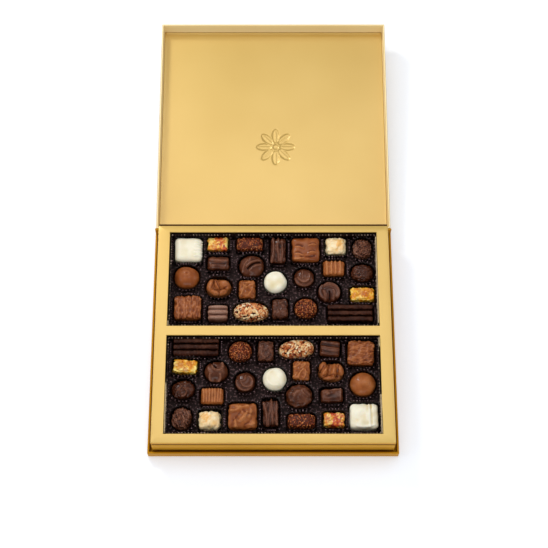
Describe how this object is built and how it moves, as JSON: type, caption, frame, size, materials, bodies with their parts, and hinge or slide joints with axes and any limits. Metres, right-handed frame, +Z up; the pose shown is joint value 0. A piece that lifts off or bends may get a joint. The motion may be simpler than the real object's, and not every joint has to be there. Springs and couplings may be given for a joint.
{
  "type": "box of chocolate pralines",
  "caption": "Open gold card box with a hinged lid, a frame with two windows and an assortment of milk, dark and white chocolate pralines in dark paper cups.",
  "frame": {"origin": "middle of the base's underside, on the surface that the box stands on", "axes": "+X to the right and +Y to the rear, towards the hinge, as the viewer sees the open box; +Z up"},
  "size_m": [0.248, 0.4808, 0.0406],
  "materials": {
    "gold_card": "satin metallic gold paper over card",
    "gold_liner": "satin metallic gold paper over card",
    "dark_paper": "fluted dark brown glassine paper",
    "white_chocolate": "satin",
    "cream_coating": "satin, speckled",
    "nut_brittle": "glossy",
    "honey_nuts": "glossy",
    "chopped_nuts": "matt",
    "sprinkles": "satin",
    "milk_chocolate": "satin",
    "dark_chocolate": "satin"
  },
  "bodies": {
    "base": {"outer_tray": "gold_card", "frame": "gold_card", "paper_cups_rear": "dark_paper", "paper_cups_front": "dark_paper", "white_square_rear": "white_chocolate", "white_square_front": "white_chocolate", "white_round_rear": "white_chocolate", "white_round_front": "white_chocolate", "cream_square_rear": "cream_coating", "cream_square_front": "cream_coating", "brittle_bar_rear": "nut_brittle", "brittle_bar_front": "nut_brittle", "honey_nut_bar_rear": "honey_nuts", "honey_nut_bar_front": "honey_nuts", "chopped_nut_oval_rear": "chopped_nuts", "chopped_nut_oval_front": "chopped_nuts", "sprinkle_bar_rear": "sprinkles", "sprinkle_bar_front": "sprinkles", "sprinkle_ball_rear": "sprinkles", "sprinkle_ball_front": "sprinkles", "milk_dome_rear": "milk_chocolate", "milk_dome_front": "milk_chocolate", "milk_nut_cluster_rear": "milk_chocolate", "milk_nut_cluster_front": "milk_chocolate", "milk_small_square_rear": "milk_chocolate", "milk_small_square_front": "milk_chocolate", "milk_line_square_rear": "milk_chocolate", "milk_line_square_front": "milk_chocolate", "milk_wave_square_rear": "milk_chocolate", "milk_wave_square_front": "milk_chocolate", "milk_ridged_bar_rear": "milk_chocolate", "milk_ridged_bar_front": "milk_chocolate", "dark_bar_rear": "dark_chocolate", "dark_bar_front": "dark_chocolate", "dark_long_bar_rear": "dark_chocolate", "dark_long_bar_front": "dark_chocolate", "dark_small_bar_rear": "dark_chocolate", "dark_small_bar_front": "dark_chocolate", "dark_wave_bar_rear": "dark_chocolate", "dark_wave_bar_front": "dark_chocolate", "dark_crunch_oval_rear": "dark_chocolate", "dark_crunch_oval_front": "dark_chocolate", "dark_wide_oval_rear": "dark_chocolate", "dark_wide_oval_front": "dark_chocolate", "dark_large_round_rear": "dark_chocolate", "dark_large_round_front": "dark_chocolate", "dark_small_round_rear": "dark_chocolate", "dark_small_round_front": "dark_chocolate", "dark_swirl_round_rear": "dark_chocolate", "dark_swirl_round_front": "dark_chocolate", "dark_stick_1_rear": "dark_chocolate", "dark_stick_2_rear": "dark_chocolate", "dark_stick_3_rear": "dark_chocolate", "dark_stick_1_front": "dark_chocolate", "dark_stick_2_front": "dark_chocolate", "dark_stick_3_front": "dark_chocolate"},
    "lid": {"lid_shell": "gold_card", "lid_liner": "gold_liner"}
  },
  "joints": [
    {"name": "lid_hinge", "type": "hinge", "parent": "base", "child": "lid", "pos_m": [0, 0.12, 0.02], "axis": [1, 0, 0], "range_deg": [0, 175]}
  ]
}
